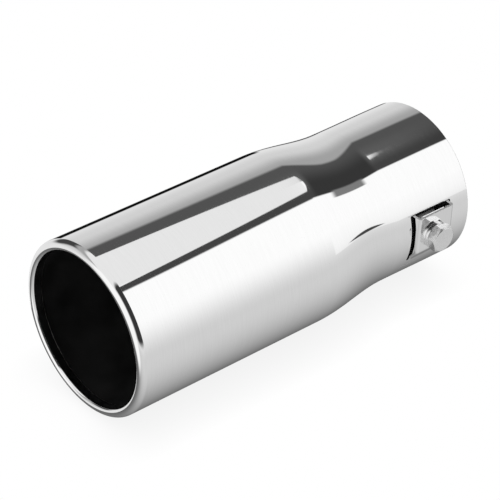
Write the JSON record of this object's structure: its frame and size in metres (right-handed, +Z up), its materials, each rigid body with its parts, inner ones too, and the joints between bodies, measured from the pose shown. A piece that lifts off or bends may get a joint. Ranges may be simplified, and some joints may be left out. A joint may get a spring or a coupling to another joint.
{
  "type": "exhaust tailpipe",
  "caption": "Straight bolt-on exhaust tailpipe tip with a rolled outlet lip, a necked-down inlet and a hex clamp bolt in a pressed-out tab.",
  "frame": {"origin": "centre of the inlet's rear end plane, where the car's tail pipe enters", "axes": "+Y along the tube's axis out of the inlet towards the car, so the outlet faces -Y; +X radially out along the clamp bolt; +Z up, towards the clamp tab's open edge"},
  "size_m": [0.0803, 0.179, 0.076],
  "materials": {
    "polished_stainless": "mirror-polished stainless steel with faint polishing lines",
    "bolt_stainless": "bright cold-headed stainless steel",
    "washer_steel": "bright spring steel",
    "zinc_hardware": "zinc-plated steel"
  },
  "bodies": {
    "tip": {"tailpipe_shell": "polished_stainless", "clamp_nut": "zinc_hardware"},
    "washer": {"lock_washer": "washer_steel"},
    "bolt": {"clamp_bolt": "bolt_stainless"}
  },
  "joints": [
    {"name": "bolt_travel", "type": "slide", "parent": "tip", "child": "washer", "axis": [1, 0, 0], "range_m": [0, 0.0127]},
    {"name": "bolt_turn", "type": "hinge", "parent": "washer", "child": "bolt", "pos_m": [0.03837, -0.0214, 0], "axis": [1, 0, 0], "range_deg": [0, 3600]}
  ],
  "couplings": [
    {"joint": "bolt_turn", "follows": "bolt_travel", "rad_per_m": 4947.4}
  ]
}
